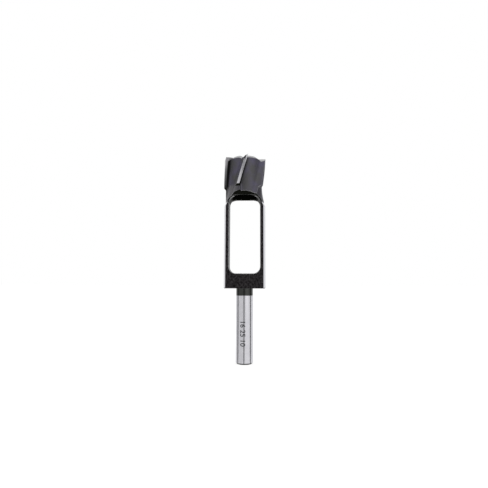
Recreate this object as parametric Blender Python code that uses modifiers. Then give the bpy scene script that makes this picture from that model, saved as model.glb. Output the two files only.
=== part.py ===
"""Plug cutter: a round shank, a body milled to two flats with an ejection window,
and a hollow head with helical blades. Turned and milled from one bar of tool steel.

Metres, +Z up. The tool stands on the end of its shank, with its axis on Z and
the window open along Y.
"""

from math import asin, cos, hypot, pi, radians, sin, sqrt, tan

import bmesh
import bpy

# Shank, ground to size, with a short and slightly thinner collar above it
SHANK_RADIUS = 0.0050
SHANK_LENGTH = 0.0386
SHANK_CHAMFER = 0.0008
COLLAR_LENGTH = 0.0040
COLLAR_STEP = 0.00012

# Head: a tube that takes the plug in its bore and carries the blades on its wall
BORE_RADIUS = 0.0080
BORE_OVERRUN = 0.0040
GULLET_WALL = 0.0022
BLADE_HEIGHT = 0.00225
BLADE_START = 0.0059
BLADE_LENGTH = 0.0177

# Neck, turned down below the blades, with a slanted shoulder
NECK_STEP = 0.00105
NECK_SHOULDER = 0.0009
NECK_LENGTH = 0.0094
NECK_CONE_LENGTH = 0.0020

# Body: a round bar with two flats a little wider apart than the shank
BODY_STEP = 0.0002
BODY_EDGE_CHAMFER = 0.0004
FLAT_STEP = 0.0004
BASE_LENGTH = 0.0086

# Window from flat to flat, wider than the bore, so that the plug falls out
WINDOW_CLEARANCE = 0.00145
WINDOW_LENGTH = 0.0452
WINDOW_CORNER = 0.0037

# The flats end in an arch over the window, left by a tapered milling cutter
ARCH_CLEARANCE = 0.0020
ARCH_TAPER = radians(17.0)

# Blades and the gullets between them, milled along a right-hand helix
BLADE_COUNT = 5
BLADE_PHASE = radians(-102.5)
HELIX_ANGLE = radians(15.6)
BLADE_WIDTH = 0.0033
MARGIN_WIDTH = 0.0020
LAND_STEP = 0.0010
BACK_SLOPE_WIDTH = 0.0014
GULLET_ROOT_FILLET = 0.0006
GULLET_TOOL_RADIUS = 0.0350
GULLET_RUNOUT_START = 0.0007

# End of the head: an outward bevel, and a raised cutting edge on each blade
END_BEVEL = radians(38.0)
EDGE_FALL = radians(6.0)
EDGE_RELIEF = radians(43.0)
GASH_LEAD = 0.0001

# Distance by which a cutting tool runs past what it cuts
OVERCUT = 0.0020

TURNED_STEPS = 96
BORE_STEPS = 64
CORNER_STEPS = 8
ARCH_STEPS = 48
FLOOR_STEPS = 12
FILLET_STEPS = 3
RUNOUT_STEPS = 6
HELIX_STEPS = 16
EDGE_STEPS = 4

# Radii, outwards from the bore
GULLET_RADIUS = BORE_RADIUS + GULLET_WALL
HEAD_RADIUS = GULLET_RADIUS + BLADE_HEIGHT
NECK_RADIUS = HEAD_RADIUS - NECK_STEP
LAND_RADIUS = HEAD_RADIUS - LAND_STEP
BODY_RADIUS = HEAD_RADIUS - BODY_STEP
OUTSIDE = max(HEAD_RADIUS, BODY_RADIUS) + OVERCUT

# Half widths of the body and of the window
FLAT_DEPTH = SHANK_RADIUS + FLAT_STEP
FLAT_HALF_WIDTH = sqrt(BODY_RADIUS ** 2 - FLAT_DEPTH ** 2)
WINDOW_HALF_WIDTH = BORE_RADIUS + WINDOW_CLEARANCE
ARCH_RADIUS = FLAT_HALF_WIDTH + ARCH_CLEARANCE

# Heights above the end of the shank
BODY_BOTTOM = SHANK_LENGTH + COLLAR_LENGTH
WINDOW_BOTTOM = BODY_BOTTOM + BASE_LENGTH
WINDOW_TOP = WINDOW_BOTTOM + WINDOW_LENGTH
ARCH_CENTER = WINDOW_TOP - ARCH_RADIUS
BLADE_BOTTOM = WINDOW_TOP + BLADE_START
NECK_BOTTOM = BLADE_BOTTOM - NECK_LENGTH
HEAD_TOP = BLADE_BOTTOM + BLADE_LENGTH

PITCH = 2 * pi / BLADE_COUNT


def clear_scene():
    for obj in list(bpy.data.objects):
        bpy.data.objects.remove(obj, do_unlink=True)


def new_collection(name):
    collection = bpy.data.collections.new(name)
    bpy.context.scene.collection.children.link(collection)
    return collection


def new_object(name, mesh, collection):
    obj = bpy.data.objects.new(name, mesh)
    collection.objects.link(obj)
    return obj


def mark_cutter(obj):
    obj.hide_render = True
    obj.display_type = "WIRE"
    return obj


def steel(name, color, roughness):
    material = bpy.data.materials.new(name)
    material.use_nodes = True
    shader = material.node_tree.nodes["Principled BSDF"]
    shader.inputs["Base Color"].default_value = (*color, 1.0)
    shader.inputs["Roughness"].default_value = roughness
    shader.inputs["Metallic"].default_value = 1.0
    return material


def turned(name, profile, steps, collection, ring=False):
    """Turn a profile of (radius, height) points about Z. The points run from the
    top of the axis down the outer side to its bottom, or once round a ring."""
    mesh = bpy.data.meshes.new(name)
    points = [(radius, 0.0, height) for radius, height in profile]
    edges = [(i, i + 1) for i in range(len(points) - 1)]
    if ring:
        edges.append((len(points) - 1, 0))
    mesh.from_pydata(points, edges, [])
    obj = new_object(name, mesh, collection)
    screw = obj.modifiers.new("turn", "SCREW")
    screw.axis = "Z"
    screw.angle = 2 * pi
    screw.steps = steps
    screw.render_steps = steps
    screw.use_merge_vertices = True
    screw.merge_threshold = 0.00001
    return obj


def loft(name, sections, collection):
    """Skin a list of closed rings of points that all have the same count."""
    shape = bmesh.new()
    rings = [[shape.verts.new(point) for point in section] for section in sections]
    count = len(rings[0])
    for low, high in zip(rings, rings[1:]):
        for i in range(count):
            j = (i + 1) % count
            shape.faces.new((low[i], low[j], high[j], high[i]))
    shape.faces.new(reversed(rings[0]))
    shape.faces.new(rings[-1])
    bmesh.ops.recalc_face_normals(shape, faces=shape.faces)
    bmesh.ops.triangulate(shape, faces=shape.faces)
    mesh = bpy.data.meshes.new(name)
    shape.to_mesh(mesh)
    shape.free()
    return mark_cutter(new_object(name, mesh, collection))


def boolean(obj, cutter, operation):
    modifier = obj.modifiers.new(cutter.name, "BOOLEAN")
    modifier.operation = operation
    modifier.solver = "EXACT"
    modifier.object = cutter


def flat_outline(name, points, half_depth, collection):
    """Extrude an outline of (x, z) points both ways along Y, as a closed mesh."""
    curve = bpy.data.curves.new(name, "CURVE")
    curve.dimensions = "2D"
    curve.fill_mode = "BOTH"
    curve.extrude = half_depth
    spline = curve.splines.new("POLY")
    spline.points.add(len(points) - 1)
    for point, (x, z) in zip(spline.points, points):
        point.co = (x, z, 0.0, 1.0)
    spline.use_cyclic_u = True
    drawn = new_object(name + "_curve", curve, collection)
    drawn.rotation_euler = (pi / 2, 0.0, 0.0)
    bpy.context.view_layer.update()
    depsgraph = bpy.context.evaluated_depsgraph_get()
    mesh = bpy.data.meshes.new_from_object(drawn.evaluated_get(depsgraph))
    mesh.name = name
    shape = bmesh.new()
    shape.from_mesh(mesh)
    bmesh.ops.remove_doubles(shape, verts=shape.verts, dist=0.000001)
    bmesh.ops.recalc_face_normals(shape, faces=shape.faces)
    shape.to_mesh(mesh)
    shape.free()
    cutter = new_object(name, mesh, collection)
    cutter.matrix_world = drawn.matrix_world
    bpy.data.objects.remove(drawn, do_unlink=True)
    return mark_cutter(cutter)


def arc(center, radius, start, end, steps):
    """Points (x, z) along an arc, both ends included."""
    angles = [start + (end - start) * i / steps for i in range(steps + 1)]
    return [(center[0] + radius * cos(a), center[1] + radius * sin(a)) for a in angles]


def blank(collection):
    """The bar as it leaves the lathe, with the shank, body, neck and head turned."""
    cone_bottom = NECK_BOTTOM - NECK_CONE_LENGTH
    profile = [
        (0.0, HEAD_TOP),
        (HEAD_RADIUS, HEAD_TOP),
        (HEAD_RADIUS, BLADE_BOTTOM),
        (NECK_RADIUS, BLADE_BOTTOM - NECK_SHOULDER),
        (NECK_RADIUS, NECK_BOTTOM),
        (BODY_RADIUS, cone_bottom),
        (BODY_RADIUS, BODY_BOTTOM + BODY_EDGE_CHAMFER),
        (BODY_RADIUS - BODY_EDGE_CHAMFER, BODY_BOTTOM),
        (SHANK_RADIUS - COLLAR_STEP, BODY_BOTTOM),
        (SHANK_RADIUS - COLLAR_STEP, SHANK_LENGTH),
        (SHANK_RADIUS, SHANK_LENGTH),
        (SHANK_RADIUS, SHANK_CHAMFER),
        (SHANK_RADIUS - SHANK_CHAMFER, 0.0),
        (0.0, 0.0),
    ]
    return turned("plug_cutter", profile, TURNED_STEPS, collection)


def bore_cutter(collection):
    """The drill for the plug's bore. It comes out in the window."""
    bottom = WINDOW_TOP - BORE_OVERRUN
    top = HEAD_TOP + OVERCUT
    profile = [(0.0, top), (BORE_RADIUS, top), (BORE_RADIUS, bottom), (0.0, bottom)]
    return mark_cutter(turned("bore_drill", profile, BORE_STEPS, collection))


def window_cutter(collection):
    """A slot mill's path across the whole bar: a rectangle with round corners."""
    side = WINDOW_HALF_WIDTH - WINDOW_CORNER
    high = WINDOW_TOP - WINDOW_CORNER
    low = WINDOW_BOTTOM + WINDOW_CORNER
    corners = [(side, high), (-side, high), (-side, low), (side, low)]
    points = []
    for index, corner in enumerate(corners):
        start = index * pi / 2
        points += arc(corner, WINDOW_CORNER, start, start + pi / 2, CORNER_STEPS)
    return flat_outline("window_mill", points, OUTSIDE, collection)


def flat_cutter(side, collection):
    """The mill that leaves one flat. Its outline is an arch at the top, and it
    widens outwards by the taper, from the flat to just outside the bar."""
    bottom = BODY_BOTTOM - OVERCUT
    sections = []
    for distance in (FLAT_DEPTH, OUTSIDE):
        radius = ARCH_RADIUS + (distance - FLAT_DEPTH) * tan(ARCH_TAPER)
        outline = arc((0.0, ARCH_CENTER), radius, 0.0, pi, ARCH_STEPS)
        outline += [(-radius, bottom), (radius, bottom)]
        sections.append([(x, side * distance, z) for x, z in outline])
    name = "front_flat_mill" if side < 0 else "back_flat_mill"
    return loft(name, sections, collection)


def helix_angle(height):
    """Angle about Z of the first blade's rake face where it follows the helix."""
    return BLADE_PHASE + (height - BLADE_BOTTOM) * tan(HELIX_ANGLE) / HEAD_RADIUS


def rake_angle(height):
    """The same along the whole gullet, which runs out straight below the blades."""
    return helix_angle(max(height, BLADE_BOTTOM))


def gullet_floor(height):
    """Radius of the gullet's floor, which climbs out of the neck along the arc of
    the milling cutter."""
    below = max(0.0, BLADE_BOTTOM + GULLET_RUNOUT_START - height)
    return GULLET_RADIUS + GULLET_TOOL_RADIUS - sqrt(GULLET_TOOL_RADIUS ** 2 - below ** 2)


def polar(radius, angle, height):
    return (radius * cos(angle), radius * sin(angle), height)


def gullet_section(height):
    """One level of the space between two blades: rake face, root fillet, floor,
    back of the next blade, and round again outside the bar."""
    floor = gullet_floor(height)
    rake = rake_angle(height)
    back = helix_angle(height) + PITCH
    margin = back - MARGIN_WIDTH / HEAD_RADIUS
    land = back - BLADE_WIDTH / HEAD_RADIUS
    foot = land - BACK_SLOPE_WIDTH / HEAD_RADIUS
    fillet = GULLET_ROOT_FILLET
    points = [polar(OUTSIDE, rake, height)]
    for i in range(FILLET_STEPS + 1):
        turn = pi / 2 * i / FILLET_STEPS
        angle = rake + fillet * (1 - cos(turn)) / floor
        points.append(polar(floor + fillet * (1 - sin(turn)), angle, height))
    start = rake + fillet / floor
    for i in range(1, FLOOR_STEPS + 1):
        points.append(polar(floor, start + (foot - start) * i / FLOOR_STEPS, height))
    points.append(polar(max(floor, LAND_RADIUS), land, height))
    points.append(polar(max(floor, HEAD_RADIUS), margin, height))
    last = margin + (OUTSIDE - HEAD_RADIUS) * (margin - land) / LAND_STEP
    points.append(polar(OUTSIDE, last, height))
    for i in range(1, CORNER_STEPS):
        points.append(polar(OUTSIDE, last + (rake - last) * i / CORNER_STEPS, height))
    return points


def gullet_cutter(collection):
    """One gullet as a twisted loft, from its run-out in the neck to past the end."""
    climb = NECK_RADIUS - GULLET_RADIUS + GULLET_ROOT_FILLET / 2
    runout = sqrt(GULLET_TOOL_RADIUS ** 2 - (GULLET_TOOL_RADIUS - climb) ** 2)
    start = BLADE_BOTTOM + GULLET_RUNOUT_START
    heights = [start - runout * (1 - i / RUNOUT_STEPS) for i in range(RUNOUT_STEPS)]
    rise = HEAD_TOP + OVERCUT - start
    heights += [start + rise * i / HELIX_STEPS for i in range(HELIX_STEPS + 1)]
    return loft("gullet_mill", [gullet_section(z) for z in heights], collection)


def edge_height(radius):
    """Height of the cutting edges, which fall a little outwards."""
    return HEAD_TOP - (radius - BORE_RADIUS) * tan(EDGE_FALL)


def tooth_wedge(collection):
    """The end of one blade that the bevel grinding leaves standing: its front is
    the rake face, and its top falls away behind the cutting edge."""
    drop = (HEAD_RADIUS - BORE_RADIUS) * tan(END_BEVEL)
    sections = []
    for radius in (BORE_RADIUS - OVERCUT / 2, HEAD_RADIUS + OVERCUT):
        edge = edge_height(radius)
        ring = []
        for i in range(EDGE_STEPS + 1):
            height = edge - drop * i / EDGE_STEPS
            ring.append(polar(radius, rake_angle(height) + GASH_LEAD / radius, height))
        for i in range(EDGE_STEPS, 0, -1):
            height = edge - drop * i / EDGE_STEPS
            behind = drop * i / EDGE_STEPS / tan(EDGE_RELIEF)
            ring.append(polar(radius, rake_angle(height) - asin(behind / radius), height))
        sections.append(ring)
    return loft("tooth_wedge", sections, collection)


def end_bevel_ring(collection):
    """The path of the wheel that grinds the end of the wall to an outward bevel."""
    inner = BORE_RADIUS - OVERCUT / 4
    outer = HEAD_RADIUS + OVERCUT / 2
    top = HEAD_TOP + OVERCUT
    inner_low = HEAD_TOP - (inner - BORE_RADIUS) * tan(END_BEVEL)
    outer_low = HEAD_TOP - (outer - BORE_RADIUS) * tan(END_BEVEL)
    profile = [(inner, top), (outer, top), (outer, outer_low), (inner, inner_low)]
    return mark_cutter(turned("bevel_wheel", profile, TURNED_STEPS, collection, ring=True))


def round_pattern(cutter, collection):
    """Copies of a cutter, one for each blade."""
    copies = [cutter]
    for i in range(1, BLADE_COUNT):
        copy = new_object(f"{cutter.name}_{i + 1}", cutter.data, collection)
        copy.rotation_euler = (0.0, 0.0, i * PITCH)
        copies.append(mark_cutter(copy))
    return copies


def apply_modifiers(obj):
    bpy.context.view_layer.update()
    depsgraph = bpy.context.evaluated_depsgraph_get()
    mesh = bpy.data.meshes.new_from_object(obj.evaluated_get(depsgraph))
    mesh.name = obj.name
    obj.modifiers.clear()
    obj.data = mesh


def paint(obj):
    """Bright ground steel on the shank, the body's round sides and the margins,
    and black oxide on every milled face."""
    obj.data.materials.clear()
    obj.data.materials.append(steel("black_oxide", (0.035, 0.035, 0.037), 0.5))
    obj.data.materials.append(steel("ground_steel", (0.62, 0.62, 0.63), 0.28))
    tolerance = 0.00003
    for face in obj.data.polygons:
        x, y, z = face.center
        radius = hypot(x, y)
        outward = (face.normal.x * x + face.normal.y * y) / max(radius, tolerance)
        shank = z < SHANK_LENGTH
        side = z < NECK_BOTTOM and abs(y) < FLAT_DEPTH and outward > 0.7
        margin = z > BLADE_BOTTOM and radius > HEAD_RADIUS - tolerance
        end = z > HEAD_TOP - (radius - BORE_RADIUS) * tan(END_BEVEL) - tolerance and face.normal.z > 0.3
        face.material_index = 1 if shank or side or margin or end else 0


def build():
    clear_scene()
    parts = new_collection("plug_cutter")
    cutters = new_collection("cutters")
    tool = blank(parts)
    for side in (-1, 1):
        boolean(tool, flat_cutter(side, cutters), "DIFFERENCE")
    boolean(tool, window_cutter(cutters), "DIFFERENCE")
    boolean(tool, bore_cutter(cutters), "DIFFERENCE")
    for cutter in round_pattern(gullet_cutter(cutters), cutters):
        boolean(tool, cutter, "DIFFERENCE")
    wheel = end_bevel_ring(cutters)
    for wedge in round_pattern(tooth_wedge(cutters), cutters):
        boolean(wheel, wedge, "DIFFERENCE")
    boolean(tool, wheel, "DIFFERENCE")
    apply_modifiers(tool)
    paint(tool)
    tool.data.shade_smooth()
    tool.data.set_sharp_from_angle(angle=radians(28.0))


build()
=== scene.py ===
"""A plug cutter standing on the end of its shank, on a white studio floor."""
from math import atan2, cos, hypot, pi, radians, sin, sqrt, tan

import bmesh
import bpy
from mathutils import Matrix, Vector


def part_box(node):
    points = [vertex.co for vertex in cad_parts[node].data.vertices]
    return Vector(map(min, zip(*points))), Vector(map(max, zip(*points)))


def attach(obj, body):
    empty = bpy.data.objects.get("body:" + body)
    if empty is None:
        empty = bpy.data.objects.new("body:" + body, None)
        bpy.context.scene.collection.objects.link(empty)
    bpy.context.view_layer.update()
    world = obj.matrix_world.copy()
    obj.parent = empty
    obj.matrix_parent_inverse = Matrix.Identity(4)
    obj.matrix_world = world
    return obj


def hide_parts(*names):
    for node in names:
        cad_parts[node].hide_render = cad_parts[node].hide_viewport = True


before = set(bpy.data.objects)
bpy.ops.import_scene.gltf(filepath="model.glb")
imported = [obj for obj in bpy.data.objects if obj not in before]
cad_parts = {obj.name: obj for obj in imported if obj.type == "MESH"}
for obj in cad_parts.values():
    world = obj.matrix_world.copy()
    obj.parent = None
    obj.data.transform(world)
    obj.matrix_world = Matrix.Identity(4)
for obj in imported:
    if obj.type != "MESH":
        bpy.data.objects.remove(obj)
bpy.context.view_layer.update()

# The bar. The whole tool is turned from one round bar of tool steel: a shank for the
# chuck, a short collar, a thicker body, a neck and the head that carries the blades.
# It stands on the end of the shank, so the lathe's axis is Z and its height starts at 0.
low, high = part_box("plug_cutter")
head_top = high.z
head_radius = -low.x
shank_radius = 0.0050
shank_chamfer = 0.0008
shank_top = 0.0386
collar_radius = 0.00488
body_bottom = 0.0426
body_radius = 0.01225
body_edge = 0.0004
neck_radius = 0.0114
neck_cone = (0.0909, 0.0929)
blade_bottom = 0.1023
shoulder_height = 0.0012
bar_sides = 192


def alone(piece):
    """Select one object and nothing else."""
    bpy.ops.object.select_all(action="DESELECT")
    piece.select_set(True)
    bpy.context.view_layer.objects.active = piece


def pick_faces(piece, wanted):
    """In edit mode, select the faces for which wanted(centre, normal) is true."""
    shape = bmesh.from_edit_mesh(piece.data)
    shape.faces.ensure_lookup_table()
    for face in shape.faces:
        face.select_set(wanted(face.calc_center_median(), face.normal))
    bmesh.update_edit_mesh(piece.data)


def added(name):
    """The primitive that an operator has just added, under a name of its own, with
    its place moved into its mesh."""
    piece = bpy.context.active_object
    piece.name = name
    piece.data.name = name
    alone(piece)
    bpy.ops.object.transform_apply(location=True, rotation=True, scale=True)
    return piece


bpy.ops.object.select_all(action="DESELECT")
bpy.ops.mesh.primitive_cylinder_add(
    vertices=bar_sides, radius=shank_radius - shank_chamfer, depth=shank_chamfer,
    location=(0, 0, shank_chamfer / 2))
cutter = added("cutter")
bpy.ops.object.mode_set(mode="EDIT")
bpy.ops.mesh.select_mode(type="FACE")
pick_faces(cutter, lambda centre, normal: normal.z > 0.9)
growth = shank_radius / (shank_radius - shank_chamfer)
bpy.ops.transform.resize(value=(growth, growth, 1))
reached_radius = shank_radius
reached_height = shank_chamfer
for next_radius, next_height in (
        (shank_radius, shank_top - (shank_radius - collar_radius)),
        (collar_radius, shank_top),
        (collar_radius, body_bottom),
        (body_radius - body_edge, body_bottom),
        (body_radius, body_bottom + body_edge),
        (body_radius, neck_cone[0]),
        (neck_radius, neck_cone[1]),
        (neck_radius, blade_bottom - shoulder_height),
        (head_radius, blade_bottom),
        (head_radius, head_top)):
    step_up = next_height - reached_height
    growth = next_radius / reached_radius
    bpy.ops.mesh.extrude_region_move(TRANSFORM_OT_translate={"value": (0, 0, step_up)})
    bpy.ops.transform.resize(value=(growth, growth, 1))
    reached_radius = next_radius
    reached_height = next_height
bpy.ops.object.mode_set(mode="OBJECT")


# The numbers. The bore, the head and the shank in millimetres are etched a few
# hundredths of a millimetre deep into the shank, reading downwards.
numbers = "16 25 10"
numbers_top = 0.0238
numbers_bottom = 0.0102
numbers_height = 0.0029
numbers_across = -0.00075
etched_radius = shank_radius - 0.00003


def cut_away(piece, cutting):
    """Take the cutting shape out of a piece, and throw the cutting shape away."""
    alone(piece)
    boolean = piece.modifiers.new("cut", "BOOLEAN")
    boolean.operation = "DIFFERENCE"
    boolean.object = cutting
    bpy.ops.object.modifier_apply(modifier=boolean.name)
    bpy.data.objects.remove(cutting, do_unlink=True)


bpy.ops.object.select_all(action="DESELECT")
bpy.ops.object.text_add(location=(0, 0, 0))
lettering = bpy.context.active_object
lettering.data.body = numbers
lettering.data.size = 0.004
lettering.data.extrude = 0.001
lettering.data.offset = 0.00003
bpy.ops.object.convert(target="MESH")
etcher = added("etcher")
low_u, high_u = (pick(vertex.co.x for vertex in etcher.data.vertices) for pick in (min, max))
low_v, high_v = (pick(vertex.co.y for vertex in etcher.data.vertices) for pick in (min, max))
for vertex in etcher.data.vertices:
    along = (vertex.co.x - low_u) / (high_u - low_u)
    across = (vertex.co.y - low_v) / (high_v - low_v) - 0.5
    vertex.co = (numbers_across + numbers_height * across, -shank_radius - vertex.co.z,
                 numbers_top - (numbers_top - numbers_bottom) * along)
bpy.ops.object.mode_set(mode="EDIT")
bpy.ops.mesh.select_all(action="SELECT")
bpy.ops.mesh.remove_doubles(threshold=0.000001)
bpy.ops.mesh.normals_make_consistent(inside=False)
bpy.ops.object.mode_set(mode="OBJECT")
bpy.ops.object.select_all(action="DESELECT")
bpy.ops.mesh.primitive_cylinder_add(
    vertices=bar_sides, radius=etched_radius, depth=shank_top, location=(0, 0, shank_top / 2))
cut_away(etcher, added("etching_core"))
cut_away(cutter, etcher)


# The flats. Two sides of the body are milled flat, from below the window up to an arch
# in the neck. The arch's wall is nearly upright beside the flat and is chamfered where
# it comes out through the neck.
flat_depth = 0.0054
arch_half_width = 0.01102
arch_top = 0.0960
arch_rise = 0.0090
arch_squareness = 4.2
arch_draft = 0.0005
arch_chamfer = radians(37)
chamfer_start = 0.0080
arch_steps = 72
overcut = 0.002
outside = head_radius + overcut


def mill_path(name, outline, rings):
    """The solid that a mill sweeps through the bar. The outline gives a closed row of
    (x, z) points for a growth, and the rings are (y, growth) pairs along the depth."""
    points = len(outline(0))
    bpy.ops.object.select_all(action="DESELECT")
    bpy.ops.mesh.primitive_grid_add(
        x_subdivisions=points, y_subdivisions=len(rings) - 1, size=1)
    mill = added(name)
    for vertex in mill.data.vertices:
        column = round((vertex.co.x + 0.5) * points) % points
        depth, growth = rings[round((vertex.co.y + 0.5) * (len(rings) - 1))]
        across, up = outline(growth)[column]
        vertex.co = (across, depth, up)
    bpy.ops.object.mode_set(mode="EDIT")
    bpy.ops.mesh.select_all(action="SELECT")
    bpy.ops.mesh.remove_doubles(threshold=0.000001)
    bpy.ops.mesh.select_mode(type="EDGE")
    for depth, growth in (rings[0], rings[-1]):
        bpy.ops.mesh.select_all(action="DESELECT")
        shape = bmesh.from_edit_mesh(mill.data)
        for edge in shape.edges:
            if all(abs(vertex.co.y - depth) < 0.000001 for vertex in edge.verts):
                edge.select_set(True)
        bmesh.update_edit_mesh(mill.data)
        bpy.ops.mesh.edge_face_add()
    bpy.ops.mesh.select_mode(type="FACE")
    bpy.ops.mesh.select_all(action="SELECT")
    bpy.ops.mesh.normals_make_consistent(inside=False)
    bpy.ops.object.mode_set(mode="OBJECT")
    return mill


def arch_outline(growth):
    """The flat's outline: over the arch from right to left, and below the body."""
    width = arch_half_width + growth
    points = []
    for step in range(arch_steps + 1):
        turn = pi * step / arch_steps
        side = abs(cos(turn)) ** (2 / arch_squareness)
        across = width * side if step < arch_steps / 2 else -width * side
        up = (arch_rise + growth) * abs(sin(turn)) ** (2 / arch_squareness)
        points.append((across, arch_top - arch_rise + up))
    below = body_bottom - overcut
    return points + [(-width, below), (width, below)]


for side in (-1, 1):
    flare = arch_draft + (outside - chamfer_start) * tan(arch_chamfer)
    rings = [(side * flat_depth, 0), (side * chamfer_start, arch_draft), (side * outside, flare)]
    cut_away(cutter, mill_path("flat_mill", arch_outline, rings))


# The window. A slot with round corners is milled through the body from flat to flat,
# a little wider than the bore above it, so that the cut plug can be pushed out sideways.
# Its edges are broken with a small chamfer.
window_half_width = 0.0091
window_bottom = 0.0512
window_top = 0.0964
window_corner = 0.0042
window_chamfer = 0.0003
corner_steps = 14


def window_outline(growth):
    """A rectangle with round corners, grown all round."""
    side = window_half_width - window_corner
    corners = ((side, window_top - window_corner), (-side, window_top - window_corner),
               (-side, window_bottom + window_corner), (side, window_bottom + window_corner))
    points = []
    for quarter, (across, up) in enumerate(corners):
        for step in range(corner_steps + 1):
            turn = pi / 2 * (quarter + step / corner_steps)
            reach = window_corner + growth
            points.append((across + reach * cos(turn), up + reach * sin(turn)))
    return points


rings = [(-outside, window_chamfer), (-flat_depth, window_chamfer),
         (window_chamfer - flat_depth, 0), (flat_depth - window_chamfer, 0),
         (flat_depth, window_chamfer), (outside, window_chamfer)]
cut_away(cutter, mill_path("window_mill", window_outline, rings))


# The bore. The head is drilled down into the window: the plug of wood rises in it as
# the blades cut round it.
bore_radius = 0.0080
bore_bottom = window_top - 0.004
bore_length = head_top + overcut - bore_bottom
bpy.ops.object.select_all(action="DESELECT")
bpy.ops.mesh.primitive_cylinder_add(
    vertices=bar_sides, radius=bore_radius, depth=bore_length,
    location=(0, 0, bore_bottom + bore_length / 2))
cut_away(cutter, added("bore_drill"))


# The gullets. Five grooves are milled up the head along a right-hand helix. What is
# left between them are the blades, each with a bright margin at the full diameter and
# a relief behind it. Below the blades each groove climbs out of the neck.
blade_count = 5
blade_phase = radians(-102.8)
helix_angle = radians(16.4)
gullet_radius = 0.0102
margin_width = 0.0016
land_radius = head_radius - 0.0010
back_slope_width = 0.0042
root_fillet = 0.0011
gullet_mill_radius = 0.035
runout_top = blade_bottom + 0.0007
fillet_steps = 6
floor_steps = 20
back_steps = 10
height_steps = 56


def turn_of(height):
    """Angle about Z by which the helix has turned at a height, from the first blade."""
    return blade_phase + (height - blade_bottom) * tan(helix_angle) / head_radius


def rake_turn(height):
    """The same for the rake face, whose groove runs out straight below the blades."""
    return turn_of(max(height, blade_bottom))


def gullet_wall(height):
    """The groove's wall at a height, as (radius, angle) points: down the rake face,
    round the root, along the floor and up the back of the next blade."""
    below = max(0.0, runout_top - height)
    floor = gullet_radius + gullet_mill_radius - sqrt(gullet_mill_radius ** 2 - below ** 2)
    rake = rake_turn(height)
    back = turn_of(height) + 2 * pi / blade_count
    margin = back - margin_width / head_radius
    foot = margin - back_slope_width / head_radius
    points = [(outside, rake)]
    for step in range(fillet_steps + 1):
        turn = pi / 2 * step / fillet_steps
        points.append((floor + root_fillet * (1 - sin(turn)),
                       rake + root_fillet * (1 - cos(turn)) / floor))
    root = points[-1][1]
    for step in range(1, floor_steps + 1):
        points.append((floor, root + (foot - root) * step / floor_steps))
    for step in range(1, back_steps + 1):
        part = step / back_steps
        climb = max(head_radius - floor, 0) * part ** 2.2
        points.append((floor + climb, foot + (margin - foot) * part))
    points.append((outside, margin + 0.5 * (outside - max(floor, head_radius)) / head_radius))
    return points


runout_climb = neck_radius - gullet_radius + root_fillet / 2
runout_length = sqrt(gullet_mill_radius ** 2 - (gullet_mill_radius - runout_climb) ** 2)
gullet_bottom = runout_top - runout_length
gullet_top = head_top + overcut
wall_points = len(gullet_wall(head_top))
bpy.ops.object.select_all(action="DESELECT")
bpy.ops.mesh.primitive_grid_add(
    x_subdivisions=wall_points - 1, y_subdivisions=height_steps, size=1)
gullet_mill = added("gullet_mill")
for vertex in gullet_mill.data.vertices:
    height = gullet_bottom + (gullet_top - gullet_bottom) * (vertex.co.y + 0.5)
    radius, turn = gullet_wall(height)[round((vertex.co.x + 0.5) * (wall_points - 1))]
    vertex.co = (radius * cos(turn), radius * sin(turn), height)
bpy.ops.object.mode_set(mode="EDIT")
bpy.ops.mesh.select_all(action="SELECT")
bpy.ops.mesh.extrude_region_move(TRANSFORM_OT_translate={"value": (0, 0, 0)})
shape = bmesh.from_edit_mesh(gullet_mill.data)
for vertex in shape.verts:
    if vertex.select:
        reach = outside / hypot(vertex.co.x, vertex.co.y)
        vertex.co = (vertex.co.x * reach, vertex.co.y * reach, vertex.co.z)
bmesh.update_edit_mesh(gullet_mill.data)
bpy.ops.mesh.select_all(action="SELECT")
bpy.ops.mesh.remove_doubles(threshold=0.000002)
bpy.ops.mesh.normals_make_consistent(inside=False)
bpy.ops.object.mode_set(mode="OBJECT")


def copies_round(piece):
    """The piece and its copies, one for each blade, turned about the tool's axis."""
    turned = [piece]
    for number in range(1, blade_count):
        copy = piece.copy()
        copy.data = piece.data.copy()
        bpy.context.collection.objects.link(copy)
        copy.rotation_euler.z = number * 2 * pi / blade_count
        alone(copy)
        bpy.ops.object.transform_apply(location=False, rotation=True, scale=False)
        turned.append(copy)
    return turned


for mill in copies_round(gullet_mill):
    cut_away(cutter, mill)


# The ground end. A wheel bevels the end of the wall outwards, which leaves a sharp rim
# round the bore. Each blade keeps a tooth, with its cutting edge along the rake face.
# Behind the edge the wheel falls away steeply and leaves a hollow in the bevel.
end_bevel = radians(38)
edge_fall = radians(1.5)
edge_relief = radians(43)
gash_lead = 0.0001
relief_length = 0.0034
hollow_length = 0.0032
relief_steps = 8
hollow_steps = 8
bevel_steps = 14
radial_steps = 10
ring_inner = bore_radius - 0.0006
ring_outer = head_radius + 0.0010


def edge_height(radius):
    return head_top - max(radius - bore_radius, 0) * tan(edge_fall)


def bevel_height(radius):
    return head_top - max(radius - bore_radius, 0) * tan(end_bevel)


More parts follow.
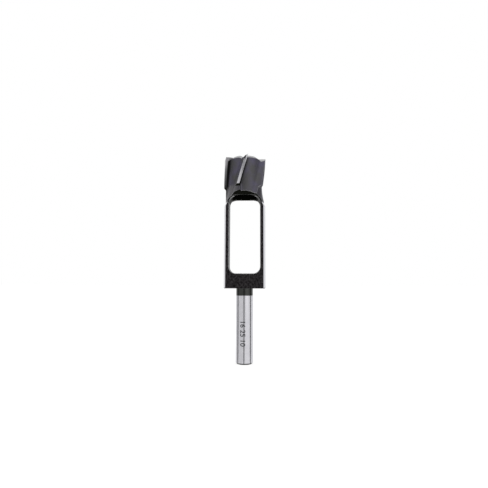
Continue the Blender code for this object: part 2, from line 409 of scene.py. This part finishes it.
def ground_end(radius):
    """The end of the wall at a radius, from one rake face backwards to the next, as
    (height, angle behind the rake face) points."""
    share = min(max((radius - bore_radius) / (land_radius - bore_radius), 0), 1)
    relief = relief_length * radius / land_radius
    fall = relief * tan(edge_relief) * (0.45 + 0.55 * share)
    hollow = hollow_length * radius / land_radius
    points = []
    for step in range(relief_steps + 1):
        part = step / relief_steps
        points.append((edge_height(radius) - fall * part, relief * part / radius))
    low_height = edge_height(radius) - fall
    for step in range(1, hollow_steps + 1):
        part = step / hollow_steps
        rise = (bevel_height(radius) - low_height) * sin(part * pi / 2)
        points.append((low_height + rise, (relief + hollow * part) / radius))
    reached = points[-1][1]
    for step in range(1, bevel_steps + 1):
        part = step / bevel_steps
        points.append((bevel_height(radius), reached + (2 * pi / blade_count - reached) * part))
    return points


sector_points = relief_steps + hollow_steps + bevel_steps + 1
bpy.ops.object.select_all(action="DESELECT")
bpy.ops.mesh.primitive_grid_add(
    x_subdivisions=blade_count * sector_points - 1, y_subdivisions=radial_steps, size=1)
wheel = added("end_wheel")
for vertex in wheel.data.vertices:
    radius = ring_inner + (ring_outer - ring_inner) * (vertex.co.y + 0.5)
    column = round((vertex.co.x + 0.5) * (blade_count * sector_points - 1))
    sector, step = divmod(column, sector_points)
    height, behind = ground_end(radius)[step]
    turn = rake_turn(height) + gash_lead / radius - behind - sector * 2 * pi / blade_count
    vertex.co = (radius * cos(turn), radius * sin(turn), height)
alone(wheel)
bpy.ops.object.mode_set(mode="EDIT")
bpy.ops.mesh.select_mode(type="EDGE")
bpy.ops.mesh.select_all(action="DESELECT")
shape = bmesh.from_edit_mesh(wheel.data)
shape.verts.ensure_lookup_table()
columns = blade_count * sector_points
for row in range(radial_steps + 1):
    first, last = shape.verts[row * columns], shape.verts[row * columns + columns - 1]
    first.select = last.select = True
    if row:
        below_first = shape.verts[(row - 1) * columns]
        below_last = shape.verts[(row - 1) * columns + columns - 1]
        shape.faces.new((below_last, below_first, first, last))
bmesh.update_edit_mesh(wheel.data)
bpy.ops.mesh.select_mode(type="FACE")
bpy.ops.mesh.select_all(action="SELECT")
bpy.ops.mesh.extrude_region_move(TRANSFORM_OT_translate={"value": (0, 0, 0)})
shape = bmesh.from_edit_mesh(wheel.data)
for vertex in shape.verts:
    if vertex.select:
        vertex.co.z = head_top + overcut
bmesh.update_edit_mesh(wheel.data)
bpy.ops.mesh.select_all(action="SELECT")
bpy.ops.mesh.remove_doubles(threshold=0.000002)
bpy.ops.mesh.normals_make_consistent(inside=False)
bpy.ops.object.mode_set(mode="OBJECT")
cut_away(cutter, wheel)

alone(cutter)
bpy.ops.object.mode_set(mode="EDIT")
bpy.ops.mesh.select_all(action="SELECT")
bpy.ops.mesh.remove_doubles(threshold=0.000003)
bpy.ops.mesh.dissolve_degenerate(threshold=0.000002)
bpy.ops.object.mode_set(mode="OBJECT")
bpy.ops.object.shade_smooth_by_angle(angle=radians(28))


# The finishes. The bar is blackened all over after milling. Then the shank, the round
# sides of the body, the margins and the ends of the blades are ground bright.


class Value:
    """A number in a shader: a wrapped socket with operators that add Math nodes."""

    def __init__(self, shader, socket):
        self.shader = shader
        self.socket = socket

    def math(self, operation, *others, first=None):
        inputs = dict(enumerate((self if first is None else first, *others)))
        return self.shader.node("ShaderNodeMath", {"operation": operation}, inputs)

    def __add__(self, other):
        return self.math("ADD", other)

    __radd__ = __add__

    def __mul__(self, other):
        return self.math("MULTIPLY", other)

    __rmul__ = __mul__

    def __sub__(self, other):
        return self.math("SUBTRACT", other)

    def __rsub__(self, other):
        return self.math("SUBTRACT", self, first=other)

    def __truediv__(self, other):
        return self.math("DIVIDE", other)

    def above(self, level, softness):
        """0 below the level and 1 above it, over a soft step."""
        return self.shader.node("ShaderNodeClamp", {}, {
            "Value": (self - (level - softness)) / (2 * softness)})


class Finish:
    """The nodes of a material or of the surround, and the shader that they feed."""

    def __init__(self, owner):
        owner.use_nodes = True
        self.owner = owner
        self.nodes = owner.node_tree.nodes
        self.links = owner.node_tree.links
        self.shader = self.nodes.get("Principled BSDF") or self.nodes["Background"]

    def node(self, kind, settings, inputs, output=0):
        """Add a node: its settings first, then its sockets' values or links."""
        made = self.nodes.new(kind)
        for key, setting in settings.items():
            if key == "stops":
                for index, (place, shade) in enumerate(setting):
                    if index > 1:
                        made.color_ramp.elements.new(place)
                    made.color_ramp.elements[index].position = place
                    made.color_ramp.elements[index].color = (*shade, 1)
            else:
                setattr(made, key, setting)
        for key, given in inputs.items():
            self.feed(made.inputs[key], given)
        return Value(self, made.outputs[output])

    def feed(self, socket, given):
        if isinstance(given, Value):
            self.links.new(given.socket, socket)
        elif isinstance(given, tuple) and len(given) == 3 and socket.type == "RGBA":
            socket.default_value = (*given, 1)
        else:
            socket.default_value = given

    def place(self, scale=(1, 1, 1), turn=(0, 0, 0)):
        """The point on the tool in metres, stretched and turned."""
        coordinate = self.node("ShaderNodeTexCoord", {}, {}, output="Object")
        return self.node("ShaderNodeMapping", {}, {
            "Vector": coordinate, "Scale": scale, "Rotation": turn})

    def along(self, axis):
        """One coordinate of the point on the tool, in metres."""
        return self.node("ShaderNodeSeparateXYZ", {}, {0: self.place()}, output=axis)

    def noise(self, vector, scale, detail=4.0, roughness=0.55):
        return self.node("ShaderNodeTexNoise", {}, {
            "Vector": vector, "Scale": scale, "Detail": detail, "Roughness": roughness})

    def ramp(self, share, *stops):
        """A colour picked from stops by a number from 0 to 1."""
        return self.node("ShaderNodeValToRGB", {"stops": stops}, {0: share})

    def blend(self, share, first, second):
        """A colour from the first to the second."""
        return self.node("ShaderNodeMix", {"data_type": "RGBA"}, {
            0: share, 6: first, 7: second}, output=2)

    def worn_and_highlit(self, width, spread=0.05):
        """1 on the edges of the tool and 0 away from them: rubbed edges and a painted edge
        highlight.
        """
        rounded = self.node("ShaderNodeBevel", {"samples": 8}, {"Radius": width})
        flat = self.node("ShaderNodeNewGeometry", {}, {}, output="Normal")
        likeness = self.node("ShaderNodeVectorMath", {"operation": "DOT_PRODUCT"}, {
            0: rounded, 1: flat}, output="Value")
        return (1 - likeness).above(spread, spread * 0.8)

    def bump(self, height, distance, strength=1.0):
        return self.node("ShaderNodeBump", {}, {
            "Height": height, "Distance": distance, "Strength": strength})

    def set(self, sockets):
        for name, given in sockets.items():
            self.feed(self.shader.inputs[name], given)
        return self.owner


def metal(name):
    finish = Finish(bpy.data.materials.new(name))
    finish.set({"Metallic": 1.0})
    return finish


def ground_steel():
    """Bright steel with the fine rings of cylindrical grinding."""
    finish = metal("ground_steel")
    rings = finish.noise(finish.place(scale=(60, 60, 9000)), 1.0, detail=3)
    cloud = finish.noise(finish.place(), 260.0, detail=3)
    color = finish.blend(cloud.above(0.5, 0.25), (0.555, 0.55, 0.585), (0.625, 0.62, 0.65))
    return finish.set({"Base Color": color, "Roughness": rings * 0.12 + 0.12,
                       "Normal": finish.bump(rings, 0.000004)})


def foot_chamfer_shade():
    """The chamfer at the foot of the shank, painted dark as the reflection of the floor's shadow
    round the foot.
    """
    finish = metal("foot_chamfer_shade")
    rings = finish.noise(finish.place(scale=(60, 60, 9000)), 1.0, detail=3)
    color = finish.blend(rings, (0.03, 0.03, 0.032), (0.065, 0.065, 0.068))
    return finish.set({"Base Color": color, "Roughness": rings * 0.2 + 0.3})


def etched_mark():
    """The floor of the etched numbers, matt and dark grey."""
    finish = metal("etched_mark")
    grain = finish.noise(finish.place(), 4000.0, detail=3)
    color = finish.blend(grain, (0.018, 0.018, 0.020), (0.060, 0.060, 0.064))
    return finish.set({"Base Color": color, "Roughness": grain * 0.2 + 0.45})


def black_oxide():
    """Blackened steel as the mill left it: nearly black, mottled, lighter at its edges: rubbed
    bare and a painted edge highlight.
    """
    finish = metal("black_oxide")
    mottle = finish.noise(finish.place(), 900.0, detail=6, roughness=0.75)
    black = finish.blend(mottle.above(0.52, 0.12), (0.007, 0.006, 0.0066), (0.058, 0.053, 0.056))
    # Light on the edges: rubbed bare steel and a painted edge highlight.
    rubbed_and_highlit = finish.worn_and_highlit(0.00018) * (mottle * 0.8 + 0.3)
    color = finish.blend(rubbed_and_highlit, black, (0.17, 0.17, 0.175))
    return finish.set({"Base Color": color, "Roughness": mottle * 0.2 + 0.42,
                       "Normal": finish.bump(mottle, 0.00003)})


def black_painted_shade():
    """Painted shade on the faces that face down or into the bore: the walls of the arch, the
    shoulders and the top of the window, nearly black and matt.
    """
    finish = metal("black_painted_shade")
    mottle = finish.noise(finish.place(), 1500.0, detail=4)
    color = finish.blend(mottle.above(0.5, 0.2), (0.004, 0.004, 0.003), (0.014, 0.015, 0.011))
    return finish.set({"Base Color": color, "Roughness": mottle * 0.2 + 0.5,
                       "Normal": finish.bump(mottle, 0.00002)})


def bare_edge_and_highlight():
    """The small chamfer round the window, bright: bare steel where the black has been rubbed off,
    and a painted edge highlight.
    """
    finish = metal("bare_edge_and_highlight")
    wear = finish.noise(finish.place(), 700.0, detail=4)
    color = finish.blend(wear.above(0.5, 0.2), (0.20, 0.20, 0.20), (0.44, 0.44, 0.445))
    return finish.set({"Base Color": color, "Roughness": wear * 0.2 + 0.3})


def gullet_steel():
    """The gullets' milled floor: dark grey with a faint violet temper tint, lighter on the
    left below the blades as painted light, with painted shade in the root and a black
    painted shadow beside the left blade, and light edges: rubbed bare and a painted
    edge highlight."""
    finish = metal("gullet_steel")
    tint = finish.noise(finish.place(), 160.0, detail=4)
    streaks = finish.noise(finish.place(scale=(2600, 2600, 160), turn=(0, 0.25, 0)), 1.0)
    floor = finish.blend(tint.above(0.5, 0.12), (0.090, 0.088, 0.092), (0.102, 0.095, 0.134))
    helix = finish.along("Y").math("ARCTAN2", finish.along("X")) - blade_phase
    helix = helix - (finish.along("Z") - blade_bottom) * (tan(helix_angle) / head_radius)
    behind = helix.math("FLOORED_MODULO", 2 * pi / blade_count) * gullet_radius
    on_blades = finish.along("Z").above(blade_bottom, 0.0008)
    # Painted light: below the blades the floor is lighter on the left side.
    painted_light_left = finish.blend((1 - finish.along("X").above(-0.0056, 0.0016)) * (1 - on_blades),
                           floor, (0.160, 0.155, 0.164))
    # Painted shade in the root of each gullet, just behind the rake face.
    root = (1 - behind.above(0.0009, 0.0006)) * on_blades
    shaded = finish.blend(root, painted_light_left, (0.034, 0.034, 0.036))
    # Painted shadow: nearly black beside the left blade, on the front side.
    slant = finish.along("X") + (head_top - finish.along("Z")) * 0.12
    in_front = 1 - finish.along("Y").above(0.0, 0.0006)
    painted_shadow_left = finish.blend((1 - slant.above(-0.0079, 0.0007)) * on_blades * in_front,
                            shaded, (0.009, 0.009, 0.009))
    # Light on the edges, less on the blades: rubbed bare steel and a painted edge highlight.
    color = finish.blend(finish.worn_and_highlit(0.00045, 0.022) * (1 - on_blades * 0.7), painted_shadow_left,
                         (0.38, 0.375, 0.39))
    return finish.set({"Base Color": color, "Roughness": streaks * 0.12 + 0.46,
                       "Normal": finish.bump(streaks, 0.00001)})


def neck_steel():
    """The turned neck: grey, with the slanted marks of hand finishing, and painted
    shade, darker with a violet tint, on all but the left side."""
    finish = metal("neck_steel")
    brushed = finish.noise(finish.place(scale=(900, 900, 5200), turn=(0, 0.6, 0)), 1.0, detail=5)
    grey = finish.blend(brushed, (0.100, 0.098, 0.101), (0.22, 0.215, 0.22))
    # Painted shade: darker with a violet tint, everywhere but the left side.
    painted_side_shade = finish.blend(brushed, (0.048, 0.045, 0.053), (0.100, 0.096, 0.112))
    turned = finish.blend(finish.along("X").above(-0.0050, 0.0018), grey, painted_side_shade)
    # Light on the edges: rubbed bare steel and a painted edge highlight.
    color = finish.blend(finish.worn_and_highlit(0.0004, 0.022) * 0.7, turned, (0.30, 0.30, 0.31))
    return finish.set({"Base Color": color, "Roughness": brushed * 0.2 + 0.38,
                       "Normal": finish.bump(brushed, 0.00002)})


def margin_steel():
    """The margins at the full diameter, ground with the shank."""
    finish = metal("margin_steel")
    lines = finish.noise(finish.place(scale=(300, 300, 6000)), 1.0, detail=3)
    bright = finish.blend(lines, (0.45, 0.445, 0.47), (0.63, 0.62, 0.65))
    helix = finish.along("Y").math("ARCTAN2", finish.along("X")) - blade_phase
    helix = helix - (finish.along("Z") - blade_bottom) * (tan(helix_angle) / head_radius)
    behind = (0 - helix).math("FLOORED_MODULO", 2 * pi / blade_count) * head_radius
    backed_off = finish.along("Z").above(head_top - 0.0034, 0.0003) * behind.above(0.0008, 0.0001)
    color = finish.blend(backed_off, bright, (0.05, 0.05, 0.052))
    return finish.set({"Base Color": color, "Roughness": lines * 0.12 + 0.2,
                       "Normal": finish.bump(lines, 0.000005)})


def rake_steel():
    """The rake faces, lighter at the cutting end and darker towards the neck, with painted shade
    in the root.
    """
    finish = metal("rake_steel")
    lines = finish.noise(finish.place(scale=(300, 300, 6000)), 1.0, detail=3)
    share = (finish.along("Z") - blade_bottom) / (head_top - blade_bottom)
    # Lighter at the cutting end and darker towards the neck.
    bright = finish.ramp(share + lines * 0.12 - 0.06,
                         (0.0, (0.050, 0.050, 0.052)), (1.0, (0.40, 0.395, 0.41)),
                         (0.15, (0.095, 0.094, 0.098)), (0.60, (0.150, 0.150, 0.154)),
                         (0.80, (0.25, 0.245, 0.255)))
    # Painted shade in the root of the rake face, below the cutting end.
    across = finish.along("X") * finish.along("X") + finish.along("Y") * finish.along("Y")
    root = (1 - across.math("SQRT").above(gullet_radius + 0.0010, 0.0003)) * \
        (1 - finish.along("Z").above(head_top - 0.0022, 0.0003))
    color = finish.blend(root, bright, (0.010, 0.010, 0.010))
    return finish.set({"Base Color": color, "Roughness": lines * 0.15 + 0.25,
                       "Normal": finish.bump(lines, 0.000005)})


def honed_end():
    """The ends of the blades and the bevel between them, honed on a fine wheel."""
    finish = metal("honed_end")
    grain = finish.noise(finish.place(), 2200.0, detail=3)
    color = finish.blend(grain, (0.20, 0.20, 0.205), (0.38, 0.38, 0.385))
    return finish.set({"Base Color": color, "Roughness": grain * 0.15 + 0.28,
                       "Normal": finish.bump(grain, 0.000005)})


def collar_steel():
    """The unground collar, still black from the oven, glossy with an olive cast."""
    finish = metal("collar_steel")
    cloud = finish.noise(finish.place(scale=(300, 300, 2500)), 1.0, detail=4)
    color = finish.blend(cloud, (0.030, 0.031, 0.029), (0.062, 0.064, 0.060))
    return finish.set({"Base Color": color, "Roughness": cloud * 0.06 + 0.13,
                       "Normal": finish.bump(cloud, 0.00001)})


def window_steel():
    """The window's milled sides."""
    finish = metal("window_steel")
    lines = finish.noise(finish.place(scale=(300, 300, 4200)), 1.0, detail=3)
    color = finish.blend(lines, (0.060, 0.060, 0.061), (0.115, 0.115, 0.117))
    return finish.set({"Base Color": color, "Roughness": lines * 0.15 + 0.35,
                       "Normal": finish.bump(lines, 0.000005)})


def behind_rake(centre, blade):
    """How far a point lies behind the rake face of a blade, in turns from 0 to 1."""
    angle = turn_of(centre.z) + blade * 2 * pi / blade_count - atan2(centre.y, centre.x)
    return angle / (2 * pi) % 1


def finish_of(centre, normal):
    """Which finish a face of the tool has, from its place and the way it faces."""
    radius = hypot(centre.x, centre.y)
    outward = (normal.x * centre.x + normal.y * centre.y) / max(radius, 1e-6)
    sideways = (normal.y * centre.x - normal.x * centre.y) / max(radius, 1e-6)
    on_right_blade = behind_rake(centre, 1) < 0.04
    # The foot's chamfer is painted dark as the reflection of the floor's shadow.
    if centre.z < shank_chamfer:
        return "foot_chamfer_shade"
    if centre.z < shank_top + 0.00001:
        engraved = numbers_bottom - 0.001 < centre.z < numbers_top + 0.001
        return "etched_mark" if engraved and radius < etched_radius + 0.000015 else "ground_steel"
    if centre.z < body_bottom and radius < collar_radius + 0.0001:
        return "collar_steel"
    # Faces inside the bore get the nearly black painted shade.
    if radius < bore_radius + 0.00003 and centre.z > bore_bottom and outward < -0.5:
        return "black_painted_shade"
    beside_window = centre.z < window_top + 0.0005 and \
        abs(centre.x) < window_half_width + window_chamfer
    in_chamfer = abs(abs(centre.y) - flat_depth + window_chamfer / 2) < window_chamfer * 0.4
    # The window's chamfer is bright: rubbed bare steel and a painted edge highlight.
    if beside_window and in_chamfer and 0.4 < abs(normal.y) < 0.9:
        return "bare_edge_and_highlight"
    if centre.z < neck_cone[1] - 0.0001:
        if outward > 0.9 and abs(centre.y) < flat_depth - 0.00001:
            return "ground_steel"
        if abs(centre.x) < window_half_width + 0.00002 and abs(normal.y) < 0.3 and outward < 0.3:
            return "window_steel"
        # Faces that face down, high on the body, get the nearly black painted shade.
        return "black_painted_shade" if normal.z < -0.3 and centre.z > body_bottom + 0.02 else "black_oxide"
    if centre.z < blade_bottom - 0.00001:
        # Shoulders that face down get the nearly black painted shade, except under the right
        # blade.
        if normal.z < -0.3:
            return "gullet_steel" if on_right_blade and radius > neck_radius else "black_painted_shade"
        if radius > neck_radius - 0.0002 and outward > 0.9:
            return "neck_steel"
        # Faces of the neck that don't face outwards get the nearly black painted shade.
        return "gullet_steel" if outward > 0.5 else "black_painted_shade"
    if outward > 0.9 and radius > head_radius - 0.00005:
        return "gullet_steel" if on_right_blade else "margin_steel"
    if normal.z > 0.35:
        return "gullet_steel" if sideways < -0.4 and behind_rake(centre, 0) < 0.1 else "honed_end"
    if sideways > 0.6 and outward < 0.5:
        return "rake_steel"
    return "gullet_steel"


finishes = [ground_steel(), foot_chamfer_shade(), etched_mark(), black_oxide(), black_painted_shade(),
            bare_edge_and_highlight(), gullet_steel(), neck_steel(), margin_steel(), rake_steel(),
            honed_end(), collar_steel(), window_steel()]
cutter.data.materials.clear()
for material in finishes:
    cutter.data.materials.append(material)
slots = {material.name: index for index, material in enumerate(finishes)}
for face in cutter.data.polygons:
    face.material_index = slots[finish_of(face.center, face.normal)]

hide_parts("plug_cutter")
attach(cutter, "root")


# The studio. The tool stands on a white floor in a white surround, under three soft
# lamps. Grey cards that only reflections see rise from the foot of the tool, and draw
# the dark bands down the bright shank.
camera_distance = 0.220
camera_height = 0.0444
camera_turn = radians(2.0)
camera_aim = radians(0.113)
camera_tilt = radians(6.3)
camera_roll = radians(0.207)
focal_pixels = 374
frame_pixels = 488

lens = bpy.data.cameras.new("camera")
lens.sensor_width = 36
lens.lens = lens.sensor_width * focal_pixels / frame_pixels
lens.clip_start = 0.01
camera = bpy.data.objects.new("camera", lens)
bpy.context.scene.collection.objects.link(camera)
camera.location = (
    camera_distance * sin(camera_turn), -camera_distance * cos(camera_turn), camera_height)
camera.rotation_euler = (
    Matrix.Rotation(camera_turn + camera_aim, 3, "Z")
    @ Matrix.Rotation(pi / 2 + camera_tilt, 3, "X")
    @ Matrix.Rotation(camera_roll, 3, "Z")).to_euler()
bpy.context.scene.camera = camera

for name, place, size, power in (
        ("left_lamp", (-0.50, -0.40, 0.35), (0.50, 0.60), 0.40),
        ("right_lamp", (0.40, -0.55, 0.30), (0.50, 0.60), 0.40),
        ("top_lamp", (0.0, 0.1, 0.8), (0.60, 0.60), 0.60)):
    light = bpy.data.lights.new(name, "AREA")
    light.shape = "RECTANGLE"
    light.size, light.size_y = size
    light.energy = power
    lamp = bpy.data.objects.new(name, light)
    bpy.context.scene.collection.objects.link(lamp)
    lamp.location = place
    aim = Vector((0, 0, 0.06)) - lamp.location
    lamp.rotation_euler = aim.to_track_quat("-Z", "Y").to_euler()


def shown(finish):
    """1 for the rays that see the surround as white, and 0 for those that light."""
    rays = [finish.node("ShaderNodeLightPath", {}, {}, output=kind)
            for kind in ("Is Camera Ray", "Is Glossy Ray", "Is Transmission Ray")]
    return rays[0].math("MAXIMUM", rays[1]).math("MAXIMUM", rays[2])


world = bpy.data.worlds.new("surround")
bpy.context.scene.world = world
surround = Finish(world)
surround.set({"Color": (1.0, 1.0, 1.0), "Strength": shown(surround) * 0.15 + 0.85})

bpy.ops.object.select_all(action="DESELECT")
bpy.ops.mesh.primitive_plane_add(size=40, location=(0, 0, 0))
floor = added("floor")
paper = Finish(bpy.data.materials.new("white_paper"))
floor.data.materials.append(paper.set({
    "Base Color": (0.30, 0.30, 0.30), "Roughness": 1.0, "Specular IOR Level": 0.0,
    "Emission Color": shown(paper) * 0.78, "Emission Strength": 1.0}))

card_reach = 0.6
card_height = 0.6
card_start = 0.0004
card_lift = 0.0003
for name, azimuth, half_width, grey in (
        ("card_front", -7, 12, 0.38), ("card_left", -98, 18, 0.40),
        ("card_side", -50, 26, 0.86), ("card_right", 88, 11, 0.20)):
    card_turn = radians(azimuth) + camera_turn
    bpy.ops.object.select_all(action="DESELECT")
    bpy.ops.mesh.primitive_plane_add(size=2, location=(0, 0, 0))
    card = added(name)
    for vertex in card.data.vertices:
        reach = card_start if vertex.co.y > 0 else card_reach
        across = vertex.co.x * reach * tan(radians(half_width))
        vertex.co = (across, -reach, card_lift)
    bpy.ops.object.mode_set(mode="EDIT")
    bpy.ops.mesh.select_mode(type="EDGE")
    bpy.ops.mesh.select_all(action="DESELECT")
    shape = bmesh.from_edit_mesh(card.data)
    for edge in shape.edges:
        edge.select_set(all(vertex.co.y < -card_start * 2 for vertex in edge.verts))
    bmesh.update_edit_mesh(card.data)
    bpy.ops.mesh.extrude_region_move(TRANSFORM_OT_translate={"value": (0, 0, card_height)})
    bpy.ops.object.mode_set(mode="OBJECT")
    halfway = radians(azimuth) / 2 + camera_turn
    card.location = (shank_radius * sin(halfway), -shank_radius * cos(halfway), 0)
    card.rotation_euler.z = card_turn
    card = added(name)
    board = Finish(bpy.data.materials.new(name))
    card.data.materials.append(board.set({
        "Base Color": (0.0, 0.0, 0.0), "Specular IOR Level": 0.0, "Roughness": 1.0,
        "Emission Color": (grey, grey, grey), "Emission Strength": 1.0}))
    card.visible_camera = False
    card.visible_diffuse = False
    card.visible_transmission = False
    card.visible_shadow = False

bpy.context.scene.view_settings.view_transform = "Standard"
